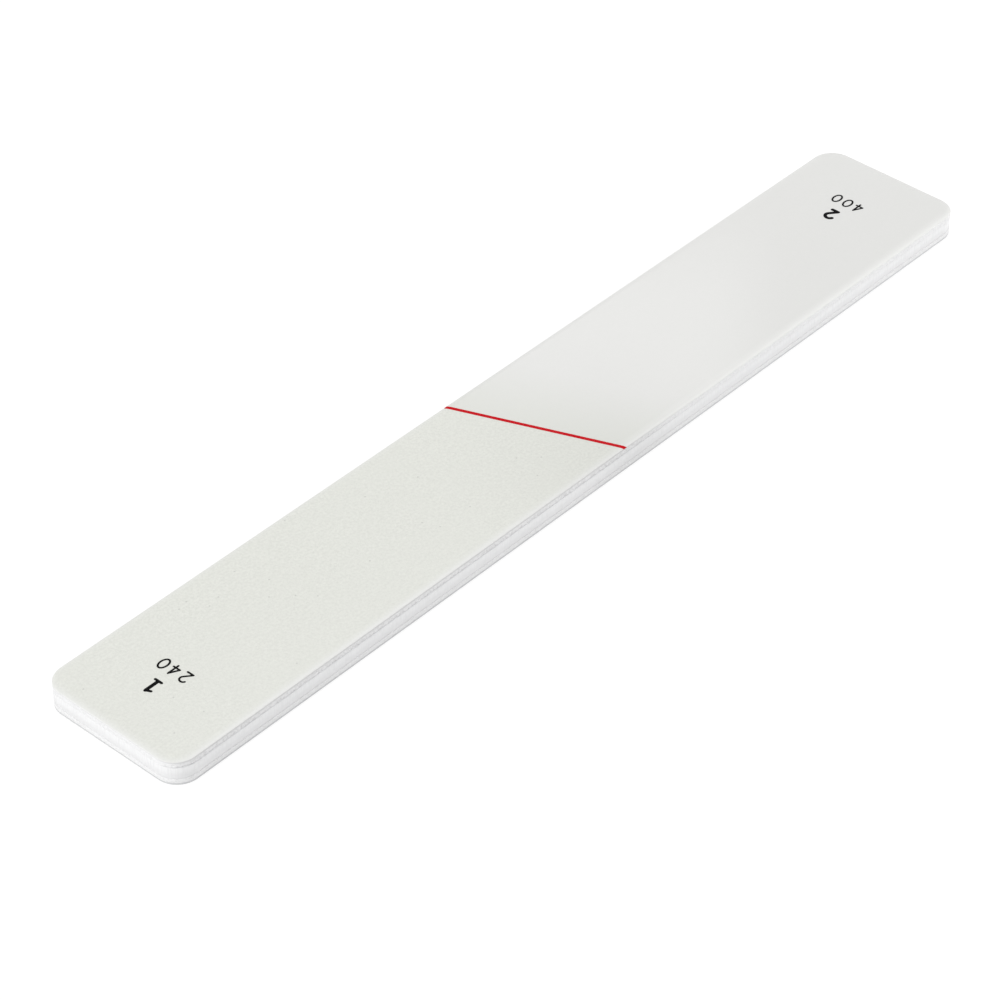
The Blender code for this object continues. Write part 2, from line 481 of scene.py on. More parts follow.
# %% [markdown]
# ## How the sheets roll over
#
# The die comes down on the upper face and presses the soft stack before it cuts, and the
# sheets never quite spring back: near the outline the upper face rolls over by about a
# tenth of a millimetre. The lower face lies on the cutting board and stays squarer. One
# function gives the drop from the distance to the edge. Everything that lies on the foam
# follows it, so the sheets, the line and the foam's own top stay parallel.

# %% Drop near the edge
ROLL_DROPS = {"upper": 0.13 * MM, "lower": 0.05 * MM}
ROLL_REACH = 1.0 * MM
ROLL_POWER = 2.2
ROLL_RINGS = (CAP_INSET, ROLL_REACH, 0.6 * MM, 0.35 * MM)


def roll(side, distance):
    """How far a face has dropped at some distance in from the outline."""
    share = 1 - np.maximum(distance, 0) / ROLL_REACH
    return ROLL_DROPS[side] * np.clip(share, 0, 1) ** ROLL_POWER


def rolled(side, height, insets):
    """Points of a section at these insets, on a level that rolls over at the rim."""
    return [(inset, height - roll(side, inset)) for inset in insets]


for side in ROLL_DROPS:
    drops = roll(side, np.array((0, 0.25, 0.5)) * MM)
    print(side, "face drops, in mm, 0, 0.25 and 0.5 mm in:", np.round(drops / MM, 3))

# %% [markdown]
# ## Glue films
#
# Two kinds of film hold the stack together: one between the core and each foam layer, and
# one under each sheet. They are a little greyer than what they bond and the die squeezes
# them back about a tenth of a millimetre from the cut, and the eye reads that as the fine
# seams along the edge. Each film is a skin of its own, set back unevenly, about as far as
# the edge that it meets. The four sheet films are whole layers at first, and are cut apart
# along the joint as the sheets are, so the cutter comes here.

# %% Where the sheets meet


def line_span(y):
    """Where the line starts and ends in x, at one end of it."""
    across = [co.x for co in slab_points("upper_divider_line") if abs(co.y - y) < TOUCHING]
    return min(across), max(across)


near_left, near_right = line_span(-HALF_WIDTH)
far_left, far_right = line_span(HALF_WIDTH)
LINE_X = (near_left + near_right + far_left + far_right) / 4
LINE_SLOPE = (far_left - near_left) / (2 * HALF_WIDTH)
LINE_LEAN = math.atan(LINE_SLOPE)
LINE_WIDTH = (near_right - near_left) * math.cos(LINE_LEAN)
print("the line leans", round(math.degrees(LINE_LEAN), 2), "degrees")
print("the line is", round(LINE_WIDTH / MM, 3), "mm wide")

JOINT_GAP = 0.05 * MM
CREASE = math.radians(55)
JOINT_FADE = 18 * MM


def across_joint(stations, values):
    """The first value left of the joint, and from there a long fade to the second."""
    x, y = ring(stations, 0).T
    share = np.clip((x - LINE_X - y * LINE_SLOPE) / JOINT_FADE, 0, 1)
    return values[0] * (1 - share) + values[1] * share


def near_share(side, stations):
    """1 along the near edge of the board, 0 along its other edges."""
    return np.clip(-stations[1][:, 1] * FLIPS[side], 0, 1)


def trim_share(side, stations):
    """1 along the near edge of the shaping sheet, which is cut a little short."""
    first = 1 if side == "upper" else 0
    return across_joint(stations, (first, 0)) * near_share(side, stations)


def over_joint(side):
    """The way over the joint, from left to right and square to it."""
    return Vector((math.cos(LINE_LEAN), -math.sin(LINE_LEAN) * FLIPS[side], 0))


def cut_at_joint(piece, side, end):
    """Keeps the part of a layer at one end of the board, and closes the cut with crisp edges."""
    away = over_joint(side) * end
    place = Vector((LINE_X, 0, 0)) + away * JOINT_GAP / 2
    shape = bmesh.new()
    shape.from_mesh(piece.data)
    everything = shape.verts[:] + shape.edges[:] + shape.faces[:]
    bmesh.ops.bisect_plane(shape, geom=everything, plane_co=place, plane_no=away, clear_inner=True)
    open_edges = [edge for edge in shape.edges if edge.is_boundary]
    bmesh.ops.contextual_create(shape, geom=open_edges)
    shape.to_mesh(piece.data)
    shape.free()
    piece.data.set_sharp_from_angle(angle=CREASE)


# %% Glue films
FILM_SETBACKS = {"core": 0.10 * MM, "sheet": 0.08 * MM}
FILM_UNEVEN = {"core": 0.035 * MM, "sheet": 0.02 * MM}
FILM_LUMP = 0.8 * MM
FILM_TRIM = 0.09 * MM
GLUE = (0.86, 0.865, 0.873)


def glue_colour(tree):
    mottled = tones(tree, even_lumps(tree, 0.6 * MM), GLUE, 0.9, 1.05)
    return painted_shade_spot(tree, mottled, **EDGE_SHADE_SPOT)


def glue_relief(tree):
    return lumps(tree, 0.3 * MM)


def film_section(side, stations, kind, bottom, top, seed):
    """The section of a film. One that lies under a sheet rolls over and is trimmed with it."""
    under_sheet = int(kind == "sheet")
    setback = FILM_SETBACKS[kind] + jagged_edge(stations, FILM_LUMP, FILM_UNEVEN[kind], seed)
    setback += FILM_TRIM * trim_share(side, stations) * under_sheet
    insets = [*ROLL_RINGS, setback]
    above = [(inset, top - roll(side, inset) * under_sheet) for inset in insets]
    below = [(inset, height - top + bottom) for inset, height in above]
    return above + below[::-1]


film_stations = outline_stations(spacing=0.4 * MM)
glue_finish = new_finish("glue_film_cut", glue_colour, glue_relief, bump=0.01 * MM, roughness=0.38)
# The side of the board that each sheet lies on, and its end, where -1 is the left one
SHEETS = {
    "shaping": ("upper", -1),
    "buffing": ("upper", 1),
    "smoothing": ("lower", -1),
    "polishing": ("lower", 1),
}
for side in FLIPS:
    section = film_section(side, film_stations, "core", CORE_TOP, FOAM_BOTTOM, seed=7)
    film = layer_skin(f"{side}_core_film", side, film_stations, section, glue_finish)
    hand_over(film, "glue_film", f"{side}_core_glue")
for sheet, (side, end) in SHEETS.items():
    section = film_section(side, film_stations, "sheet", FOAM_TOP, PAPER_BOTTOM, seed=11 * end)
    film = layer_skin(f"{sheet}_sheet_film", side, film_stations, section, glue_finish)
    cut_at_joint(film, side, end)
    hand_over(film, "glue_film", f"{sheet}_sheet_glue")

# %% [markdown]
# ## The foam
#
# The foam is closed-cell and soft. Its faces are sealed, but the die tears through the
# cells at the edge, so the cut is a crowd of small pits that catches shadow. A bump map
# would leave the outline straight. Here Geometry Nodes push the wall in over each cell: the
# tree reads two attributes of the skin, the way out and how badly the foam is torn, which is
# 0 where it is sealed, and a Voronoi texture gives the distance to each cell's middle. The
# cell size and the depths are inputs, so the same tree serves both layers.
#
# Along the near edge the blade was blunt under the stiff shaping sheet: it tore the foam,
# which stands back there, and cut the sheet above it a little short. The foam's colour is
# darker there too, which is painted shade in the torn pits. Round the ends, under the soft
# buffing film and on the lower side the cut is cleaner. So the setback and the tearing
# depend on the side of the board, on its end and on the edge.

# %% Foam skin with a plain cut
FOAM_SETBACKS = {"upper": (0.12 * MM, 0.0), "lower": (0.01 * MM, 0.01 * MM)}
FOAM_TEARING = {"upper": (1.9, 0.4), "lower": (0.5, 0.4)}
ELSEWHERE = 0.15
FOAM_ROWS = 9
FOAM_PINCH = 0.03 * MM
RIM_TEARING = 0.35


def torn_amount(side, stations, values):
    """One value left of the joint and one right of it, in full along the near edge alone."""
    return across_joint(stations, values) * (ELSEWHERE + (1 - ELSEWHERE) * near_share(side, stations))


def foam_section(side, stations):
    setback = torn_amount(side, stations, FOAM_SETBACKS[side])
    wall = FOAM_TOP - roll(side, setback) - FOAM_BOTTOM
    section = rolled(side, FOAM_TOP, ROLL_RINGS)
    for rise in np.linspace(1, 0, FOAM_ROWS):
        pinch = FOAM_PINCH * (2 * rise - 1) ** 4
        section.append((setback + pinch, FOAM_BOTTOM + wall * rise))
    section.append((CAP_INSET, FOAM_BOTTOM))
    return section


def mark_cut(piece, stations, side):
    """Stores the way out, and how badly the foam is torn, for each point of its skin."""
    count = len(stations[0])
    out = np.column_stack((stations[1] * (1, FLIPS[side]), np.zeros(count)))
    first, last = len(ROLL_RINGS), len(ROLL_RINGS) + FOAM_ROWS - 1
    torn = np.zeros((last + 2, count))
    torn[first:last + 1] = 1
    torn[[first, last]] = RIM_TEARING
    torn *= torn_amount(side, stations, FOAM_TEARING[side])
    store(piece, "out", np.tile(out, (len(torn), 1)))
    store(piece, "cut", torn.ravel())


# %% Tree that opens the cells in the cut
PIT_REACH = 0.75
SOCKETS = {"Geometry": "NodeSocketGeometry", "Seed": "NodeSocketInt", "Finish": "NodeSocketMaterial"}


def new_tree(name, *numbers):
    """An empty Geometry Nodes tree that takes a geometry, the named numbers and a finish."""
    tree = bpy.data.node_groups.new(name, "GeometryNodeTree")
    for label in ("Geometry", *numbers, "Finish"):
        kind = SOCKETS.get(label, "NodeSocketFloat")
        tree.interface.new_socket(label, in_out="INPUT", socket_type=kind)
    tree.interface.new_socket("Geometry", in_out="OUTPUT", socket_type=SOCKETS["Geometry"])
    return tree, add(tree, "NodeGroupInput").outputs, add(tree, "NodeGroupOutput").inputs


def end_tree(tree, geometry, finish, output):
    """Every tree ends alike: real geometry with its material."""
    real = add(tree, "GeometryNodeRealizeInstances", {"Geometry": geometry}).outputs[0]
    painted = add(tree, "GeometryNodeSetMaterial", {"Geometry": real, "Material": finish}).outputs[0]
    tree.links.new(painted, output["Geometry"])


def apply_tree(piece, tree, name, **values):
    """Runs a tree on a piece with these inputs, and returns the result as a plain mesh object."""
    modifier = piece.modifiers.new(tree.name, "NODES")
    modifier.node_group = tree
    for item in tree.interface.items_tree:
        key = item.name.lower().replace(" ", "_")
        if item.in_out == "INPUT" and key in values:
            modifier[item.identifier] = values[key]
    evaluated = piece.evaluated_get(bpy.context.evaluated_depsgraph_get())
    mesh = bpy.data.meshes.new_from_object(evaluated)
    piece.modifiers.remove(modifier)
    mesh.name = name
    return new_object(name, mesh)


def read_back(tree, name, kind):
    """An attribute that was stored on the skin."""
    inputs = {"Name": name}
    return add(tree, "GeometryNodeInputNamedAttribute", inputs, data_type=kind).outputs["Attribute"]


def cell_tree():
    tree, given, output = new_tree("open_cells", "Cell Size", "Pit Depth", "Lump Size", "Lump Depth")
    place = add(tree, "GeometryNodeInputPosition").outputs[0]
    cell = {"Vector": place, "Scale": maths(tree, "DIVIDE", 1.0, given["Cell Size"])}
    lump = {"Vector": place, "Scale": maths(tree, "DIVIDE", 1.0, given["Lump Size"]), "Detail": 2.0}
    middle = add(tree, "ShaderNodeTexVoronoi", cell).outputs["Distance"]
    soft = add(tree, "ShaderNodeTexNoise", lump).outputs["Fac"]
    pits = product(tree, maths(tree, "SUBTRACT", PIT_REACH, middle), given["Pit Depth"])
    depth = maths(tree, "ADD", pits, product(tree, soft, given["Lump Depth"]))
    inward = product(tree, read_back(tree, "cut", "FLOAT"), depth, -1.0)
    offset = vectors(tree, "MULTIPLY", read_back(tree, "out", "FLOAT_VECTOR"), inward)
    moved = add(tree, "GeometryNodeSetPosition", {"Geometry": given["Geometry"], "Offset": offset})
    end_tree(tree, moved.outputs[0], given["Finish"], output)
    return tree


# %% Foam layers
FOAM_CELL = 0.34 * MM
TORN_CELLS = {
    "cell_size": FOAM_CELL, "pit_depth": 0.10 * MM,
    "lump_size": 0.9 * MM, "lump_depth": 0.05 * MM,
}
FOAM_WHITE = (0.868, 0.868, 0.869)


def foam_colour(tree):
    # Painted shade in the pits: darker at each cell's middle, and darker still where the foam is torn
    # more.
    pits = ramp(tree, cells(tree, FOAM_CELL), 0.15, 0.7)
    depth = ramp(tree, stored(tree, "cut"), 0.5, FOAM_TEARING["upper"][0])
    painted_pit_shade = tones(tree, depth, FOAM_WHITE, 0.92, 0.82)
    torn = shades(tree, pits, painted_pit_shade, lightened(FOAM_WHITE, 1.05))
    broad = product(tree, even_lumps(tree, 1.2 * MM), 0.6)
    return painted_shade_spot(tree, shades(tree, broad, torn, lightened(FOAM_WHITE, 1.02)), **EDGE_SHADE_SPOT)


def foam_relief(tree):
    return maths(tree, "ADD", cells(tree, 0.12 * MM), lumps(tree, 0.08 * MM))


foam_finish = new_finish("foam_cut", foam_colour, foam_relief, bump=0.02 * MM, roughness=0.88)
open_cells = cell_tree()
for side in FLIPS:
    section = foam_section(side, fine_stations)
    plain = layer_skin(f"{side}_foam_skin", side, fine_stations, section, foam_finish)
    mark_cut(plain, fine_stations, side)
    foam = apply_tree(plain, open_cells, f"{side}_foam_layer", **TORN_CELLS, finish=foam_finish)
    bpy.data.objects.remove(plain)
    hand_over(foam, "foam", f"{side}_foam")

# %% [markdown]
# ## Backing papers
#
# Each abrasive sheet is a waterproof paper with a grit coat on it. The die leaves the
# paper's cut rim slightly slanted and a little fibrous, so it is a skin that follows the
# roll, with a noisy wall. Where the shaping sheet is cut short its wall leans back instead,
# and its colour is greyer there, which is painted shade. The fine sheet has the whitest
# paper and the coarse one is a little duller. The papers below are grey, and their cut walls
# also paint in the thin dark line of contact shadow under the board.

# %% Papers
SHEET_RIM = 0.03 * MM
SHEET_TRIM = 0.17 * MM
RIM_SLANT = 0.05 * MM
TRIM_SLANT = -0.07 * MM
# Painted shade on the cut-short wall of the shaping sheet.
TRIM_PAINTED_SHADE = 0.84
FIBRE_SIZE = 0.35 * MM
FIBRE_DEPTH = 0.018 * MM
PAPER_RINGS = np.array((0.7, 0.45, 0.25, 0.11)) * MM
PAPERS = {
    "shaping": (0.83, 0.83, 0.825),
    "buffing": (0.885, 0.885, 0.88),
    # The lower papers' grey also paints in the dark contact-shadow line under the board.
    "smoothing": (0.66, 0.665, 0.67),
    "polishing": (0.68, 0.685, 0.69),
}


def paper_finish(sheet):
    plain = PAPERS[sheet]

    def colour(tree):
        fibres = even_lumps(tree, 0.18 * MM, 4, stretch=(1, 1, 3))
        clean = tones(tree, fibres, plain, 0.94, 1.03)
        # Painted shade along the near edge of the shaping sheet, where it is cut short.
        trim_shaded = shades(tree, stored(tree, "trim"), clean, lightened(plain, TRIM_PAINTED_SHADE))
        return painted_shade_spot(tree, trim_shaded, **EDGE_SHADE_SPOT)

    def relief(tree):
        return lumps(tree, 0.1 * MM, 4, stretch=(1, 1, 3))

    return new_finish(f"{sheet}_paper_cut", colour, relief, bump=0.012 * MM, roughness=0.85)


def sheet_rim(side, stations):
    """How far in from the outline the sheet's edge lies."""
    return SHEET_RIM + SHEET_TRIM * trim_share(side, stations)


def paper_section(side, stations, seed):
    rim, trim = sheet_rim(side, stations), trim_share(side, stations)
    slant = RIM_SLANT * (1 - trim) + TRIM_SLANT * trim
    insets = [CAP_INSET, ROLL_REACH] + [rim + further for further in PAPER_RINGS]
    section = rolled(side, PAPER_TOP, insets)
    for rise in (1, 0.75, 0.5, 0.25, 0):
        height = PAPER_BOTTOM + (PAPER_TOP - PAPER_BOTTOM) * rise - roll(side, rim)
        fibres = jagged_edge(stations, FIBRE_SIZE, FIBRE_DEPTH, seed, 3 * height)
        section.append((rim + slant * (1 - rise) + fibres, height))
    return section + rolled(side, PAPER_BOTTOM, insets[::-1])


sheet_stations = outline_stations(spacing=0.22 * MM)
for sheet, (side, end) in SHEETS.items():
    section = paper_section(side, sheet_stations, seed=5 * end)
    paper = layer_skin(f"{sheet}_paper", side, sheet_stations, section, paper_finish(sheet))
    store(paper, "trim", np.tile(trim_share(side, sheet_stations), len(section)))
    cut_at_joint(paper, side, end)
    hand_over(paper, "backing_paper", f"{sheet}_backing_paper")

# %% [markdown]
# ## Grit coats
#
# A coat is resin with mineral grains in it. The resin skin lies on the paper and rolls over
# with it. Its finish mixes towards paper white by the rim attribute, which draws the pale
# line that frames each face: partly resin that crazes whiter near the die's cut, partly a
# painted highlight where the rim catches the light.
#
# The four steps differ in their grain: shaping is the coarsest and is warm off-white,
# buffing is finer, neutral and has a faint sheen, smoothing is finer still, and polishing
# is a smooth grey film. A small table holds what differs, and one function makes them all.
# The painted shade spot spreads wider on the faces than on the cut. Near the shaping sheet
# the buffing sheet turns warmer and darker: partly warm dust of the coarse grit, partly
# painted shade.

# %% Coat finishes
COATS = {
    "shaping": {
        "colour": (0.815, 0.825, 0.773), "grain": 0.16 * MM, "clump": 0.42 * MM, "mottle": 0.075,
        "bump": 0.022 * MM, "rough": 0.92, "gloss": 0.0, "dust_and_shade": 0.0,
    },
    "buffing": {
        "colour": (0.776, 0.776, 0.759), "grain": 0.09 * MM, "clump": 0.60 * MM, "mottle": 0.008,
        "bump": 0.003 * MM, "rough": 0.70, "gloss": 0.14, "dust_and_shade": 1.0,
    },
    "smoothing": {
        "colour": (0.66, 0.67, 0.67), "grain": 0.08 * MM, "clump": 0.50 * MM, "mottle": 0.015,
        "bump": 0.004 * MM, "rough": 0.60, "gloss": 0.25, "dust_and_shade": 0.0,
    },
    "polishing": {
        "colour": (0.58, 0.60, 0.62), "grain": 0.06 * MM, "clump": 0.80 * MM, "mottle": 0.008,
        "bump": 0.002 * MM, "rough": 0.45, "gloss": 0.45, "dust_and_shade": 0.0,
    },
}
# The pale frame of a face: part crazed resin, part painted highlight on the rim.
RIM_WHITE_AND_HIGHLIGHT = (0.872, 0.875, 0.857)
RIM_FADE = (0.08, 0.75)
SPECK_GREY = (0.42, 0.42, 0.40)
SPECK_SPACING = 2.6 * MM
SPECK_REACH = 0.055
SPECKLESS_SHARE = 0.80
CLOUD_SIZE = 7 * MM
# The same painted shade spot on the faces, spread wider.
FACE_SHADE_SPOT = {"shade_centre": (1.5 * MM, -14.5 * MM, 0), "reach": 17 * MM, "shade_strength": 0.072}
# A warmer, darker tone of the buffing face near the joint: partly dust of the coarse grit, partly
# painted shade.
WARM_DUST_AND_SHADE = (0.728, 0.738, 0.694)
DUST_AND_SHADE_REACH = 14 * MM
GLOSS_ROUGHNESS = 0.165


def past_joint(tree, side):
    """How far a point of a face lies to the right of the joint."""
    along = vectors(tree, "DOT_PRODUCT", own_place(tree), over_joint(side), output="Value")
    return maths(tree, "SUBTRACT", along, LINE_X * math.cos(LINE_LEAN))


def specks(tree, strength):
    """Small spots at the middles of a few of the cells."""
    spot = maths(tree, "LESS_THAN", cells(tree, SPECK_SPACING, space="2D"), SPECK_REACH)
    chosen = maths(tree, "GREATER_THAN", cells(tree, SPECK_SPACING, "Color", "2D"), SPECKLESS_SHARE)
    return product(tree, spot, chosen, strength)


def coat_finish(sheet, side, look):
    mottle, plain = look["mottle"], look["colour"]

    def colour(tree):
        clumps = even_lumps(tree, look["clump"], 1, end=0.7)
        grains = ramp(tree, lumps(tree, look["grain"], 3), 0.35, 0.65, 0, 0.3)
        grained = tones(tree, maths(tree, "ADD", clumps, grains), plain, 1 - mottle, 1 + mottle * 0.6)
        cloud = ramp(tree, lumps(tree, CLOUD_SIZE), 0.35, 0.65, 0, 0.3)
        clouded = shades(tree, cloud, grained, lightened(plain, 0.985))
        # Warmer and darker near the joint: partly dust, partly painted shade.
        dust_and_shade = ramp(tree, past_joint(tree, side), 0, DUST_AND_SHADE_REACH, look["dust_and_shade"], 0)
        dusted_and_shaded = shades(tree, dust_and_shade, clouded, WARM_DUST_AND_SHADE)
        specked = shades(tree, specks(tree, mottle * 5), dusted_and_shaded, SPECK_GREY)
        framed = shades(tree, ramp(tree, stored(tree, "rim"), *RIM_FADE), specked, RIM_WHITE_AND_HIGHLIGHT)
        return painted_shade_spot(tree, framed, **FACE_SHADE_SPOT)

    def relief(tree):
        return maths(tree, "ADD", lumps(tree, look["grain"], 3), cells(tree, look["grain"] * 1.3))

    gloss = {"Coat_Weight": look["gloss"], "Coat_Roughness": GLOSS_ROUGHNESS}
    return new_finish(f"{sheet}_coat_finish", colour, relief, look["bump"], look["rough"], **gloss)


# %% Grit coats
CHIP_SIZE = 0.3 * MM
CHIP_DEPTH = 0.012 * MM
COAT_RINGS = np.array((0.72, 0.6, 0.48, 0.37, 0.27, 0.17, 0.09)) * MM
COAT_INNER_RINGS = (CAP_INSET, 1.25 * MM, ROLL_REACH)
UNDERSIDE_CAP_INSET = 1.7 * MM
SHOULDER_INSET = 0.04 * MM
SHOULDER_DROP = 0.006 * MM
ARRIS_INSET = 0.012 * MM
ARRIS_DROP = 0.018 * MM


def coat_section(side, stations, seed):
    """The face in many rings, so that it bends smoothly, then a rounded arris and the underside."""
    chips = jagged_edge(stations, CHIP_SIZE, CHIP_DEPTH, seed)
    rim = sheet_rim(side, stations)
    insets = [*COAT_INNER_RINGS, *(rim + further for further in COAT_RINGS)]
    rim_height = RESIN_TOP - roll(side, rim)
    section = rolled(side, RESIN_TOP, insets)
    section.append((rim + SHOULDER_INSET, rim_height - SHOULDER_DROP))
    section.append((rim + ARRIS_INSET + chips, rim_height - ARRIS_DROP))
    section.append((rim + chips, PAPER_TOP - roll(side, rim)))
    return section + rolled(side, PAPER_TOP, insets[::-3] + [UNDERSIDE_CAP_INSET])


coats = {}
for sheet, (side, end) in SHEETS.items():
    finish = coat_finish(sheet, side, COATS[sheet])
    section = coat_section(side, sheet_stations, seed=9 * end)
    edge = sheet_rim(side, sheet_stations)
    coats[sheet] = layer_skin(f"{sheet}_resin", side, sheet_stations, section, finish, edge)
    cut_at_joint(coats[sheet], side, end)
    slot = {"polishing": "polishing_film"}.get(sheet, f"{sheet}_grit")
    hand_over(coats[sheet], slot, f"{sheet}_coat")

# %% [markdown]
# ## Grains
#
# The coarse fraction of the grit stands out of the resin. These grains are real geometry:
# a tree strews points over the face of the coat with a fixed seed, puts a small eight-sided
# crystal on each, turned and stretched at random, and sinks it to its waist. Eight faces
# are plenty for a crystal of a tenth of a millimetre, because there are thousands of them.

# %% Tree that strews grains
LEVEL_ENOUGH = 0.7
FULL_TURNS = ((0, 0, 0), (math.tau, math.tau, math.tau))
CRYSTAL_SIZES = ((0.55, 0.55, 0.45), (1.25, 1.1, 0.9))


def random_vectors(tree, seed, limits):
    inputs = {"Min": limits[0], "Max": limits[1], "Seed": seed}
    return add(tree, "FunctionNodeRandomValue", inputs, data_type="FLOAT_VECTOR").outputs[0]


def grain_tree():
    """Its density is a number of grains for each square metre, and up is 1 or -1."""
    tree, given, output = new_tree("strewn_grains", "Density", "Radius", "Sink", "Seed", "Up")
    seed = given["Seed"]
    normal = add(tree, "GeometryNodeInputNormal").outputs[0]
    rise = add(tree, "ShaderNodeSeparateXYZ", {0: normal}).outputs["Z"]
    facing = maths(tree, "GREATER_THAN", product(tree, rise, given["Up"]), LEVEL_ENOUGH)
    field = {"Mesh": given["Geometry"], "Selection": facing, "Density": given["Density"], "Seed": seed}
    strewn = add(tree, "GeometryNodeDistributePointsOnFaces", field)
    eight_sided = {"Segments": 4, "Rings": 2, "Radius": given["Radius"]}
    crystal = add(tree, "GeometryNodeMeshUVSphere", eight_sided)
    grains = add(tree, "GeometryNodeInstanceOnPoints", {
        "Points": strewn.outputs["Points"],
        "Instance": crystal.outputs["Mesh"],
        "Rotation": random_vectors(tree, seed, FULL_TURNS),
        "Scale": random_vectors(tree, seed, CRYSTAL_SIZES),
    }).outputs[0]
    depth = product(tree, given["Sink"], given["Up"], -1.0)
    down = add(tree, "ShaderNodeCombineXYZ", {"Z": depth}).outputs[0]
    sunk = add(tree, "GeometryNodeSetPosition", {"Geometry": grains, "Offset": down}).outputs[0]
    end_tree(tree, sunk, given["Finish"], output)
    return tree


# %% Strew the grains
GRAINS = {
    "shaping": {"density": 4.0 / MM**2, "radius": 0.060 * MM, "sink": 0.030 * MM, "seed": 21},
    "buffing": {"density": 3.0 / MM**2, "radius": 0.035 * MM, "sink": 0.018 * MM, "seed": 22},
    "smoothing": {"density": 3.0 / MM**2, "radius": 0.030 * MM, "sink": 0.015 * MM, "seed": 23},
}
strewn_grains = grain_tree()
for sheet, grit in GRAINS.items():
    up = float(FLIPS[SHEETS[sheet][0]])
    finish = coats[sheet].data.materials[0]
    grains = apply_tree(coats[sheet], strewn_grains, f"{sheet}_grains", **grit, up=up, finish=finish)
    hand_over(grains, f"{sheet}_grit")

# %% [markdown]
# ## The red line
#
# The line is screen printed over the joint. Ink fills the hollows between the grains, so
# it stands a few hundredths of a millimetre proud, its edges are slightly ragged, and it
# stops just short of the board's edges. The strip is a grid laid on the rolled face: along
# it run stations, and across it seven points, so it drapes over both long edges. The first
# and the last point across are sunk in the resin, so that the strip's edges are closed.

# %% Draped red line
LINE_END_GAP = 0.10 * MM
LINE_STEP = 0.12 * MM
LINE_SHARES = (-1, -0.97, -0.5, 0, 0.5, 0.97, 1)
INK_SINK = 0.02 * MM
INK_LOOK = {"roughness": 0.60, "Specular_IOR_Level": 0.03}
RAGGED_DEPTH = 0.022 * MM
RAGGED_LUMP = 0.25 * MM
RAGGED_SEEDS = {-1: 31, 1: 57}
RAGGED_BEYOND = 0.9
RED = (0.61, 0.011, 0.017)


def red_colour(tree):
    return tones(tree, even_lumps(tree, 0.16 * MM, 3), RED, 0.85, 1.12)


def ink_relief(tree):
    return maths(tree, "ADD", lumps(tree, 0.12 * MM, 3), cells(tree, 0.15 * MM))


def face_height(side, x, y):
    """The height of the resin's face over a point of the board, above the board's middle."""
    return RESIN_TOP - roll(side, edge_distance(x, y))


def ribbon(name, side, finish):
    """A strip of stations from the near edge to the far one, closed below and at its ends."""
    reach = HALF_WIDTH - LINE_END_GAP
    along = np.linspace(-reach, reach, round(2 * reach / LINE_STEP))
    places = np.column_stack((along, 0 * along, 0 * along))
    ragged = {}
    for way, seed in RAGGED_SEEDS.items():
        ragged[way] = jagged(places, RAGGED_LUMP, RAGGED_DEPTH, seed)
    half_span = LINE_WIDTH / 2 / math.cos(LINE_LEAN)
    columns = []
    for share in LINE_SHARES:
        x = LINE_X + along * LINE_SLOPE + half_span * share
        if abs(share) > RAGGED_BEYOND:
            x = x + ragged[1 if share > 0 else -1]
        proud = -INK_SINK if abs(share) == 1 else FACE - RESIN_TOP
        columns.append(np.column_stack((x, along, face_height(side, x, along) + proud)))
    points = np.stack(columns, 1).reshape(-1, 3)
    wide = len(LINE_SHARES)
    last = len(points) - wide
    faces = [tuple(range(wide))[::-1], tuple(range(last, last + wide))]
    for row in range(0, last, wide):
        ahead = row + wide
        faces.append((ahead, ahead + wide - 1, ahead - 1, row))
        faces += [(row + i, row + i + 1, ahead + i + 1, ahead + i) for i in range(wide - 1)]
    return mesh_object(name, turned_over(points, side), faces, finish)


red_finish = new_finish("red_ink_print", red_colour, ink_relief, bump=0.02 * MM, **INK_LOOK)
for side in FLIPS:
    line = ribbon(f"{side}_red_line", side, red_finish)
    hand_over(line, "red_ink", f"{side}_divider_line")

# %% [markdown]
# ## Printed numbers
#
# Each sheet carries its step numeral in heavy strokes, and a lighter grade number beside
# it. Digits are drawn, not typed: a digit is a few stroke paths in a box one unit high, and
# a stroke is widened into an outline. A constrained triangulation joins the overlapping
# outlines into one patch, which is then given the ink's thickness. The outlines are walked
# in short steps and shaken a little first, because ink on grit has no knife-sharp edge.

# %% Strokes of the digits
BOW_POINTS = 21


def bow(centre, radii, start, end):
    """Points along an elliptical arc, in degrees."""
    turns = np.radians(np.linspace(start, end, BOW_POINTS))
    return list(zip(centre[0] + radii[0] * np.cos(turns), centre[1] + radii[1] * np.sin(turns)))


def round_end(end, beyond, width):
    """Points round the end of a stroke, from its right side to its left as one looks ahead."""
    ahead = (end - beyond).normalized() * width / 2
    side = Vector((-ahead.y, ahead.x))
    turns = np.radians((-60, -30, 0, 30, 60))
    return [end + ahead * math.cos(turn) + side * math.sin(turn) for turn in turns]


def widened(path, width):
    """Outline of a flat stroke along a path, round at its ends and mitred at its slight bends."""
    left, right = [], []
    for i, point in enumerate(path):
        before = (point - path[i - 1]).normalized() if i else None
        after = (path[i + 1] - point).normalized() if i + 1 < len(path) else None
        along = ((before or after) + (after or before)).normalized()
        reach = width / 2 / along.dot(after or before)
        side = Vector((-along.y, along.x)) * reach
        left.append(point + side)
        right.append(point - side)
    first, last = round_end(path[0], path[1], width), round_end(path[-1], path[-2], width)
    return right + last + left[::-1] + first


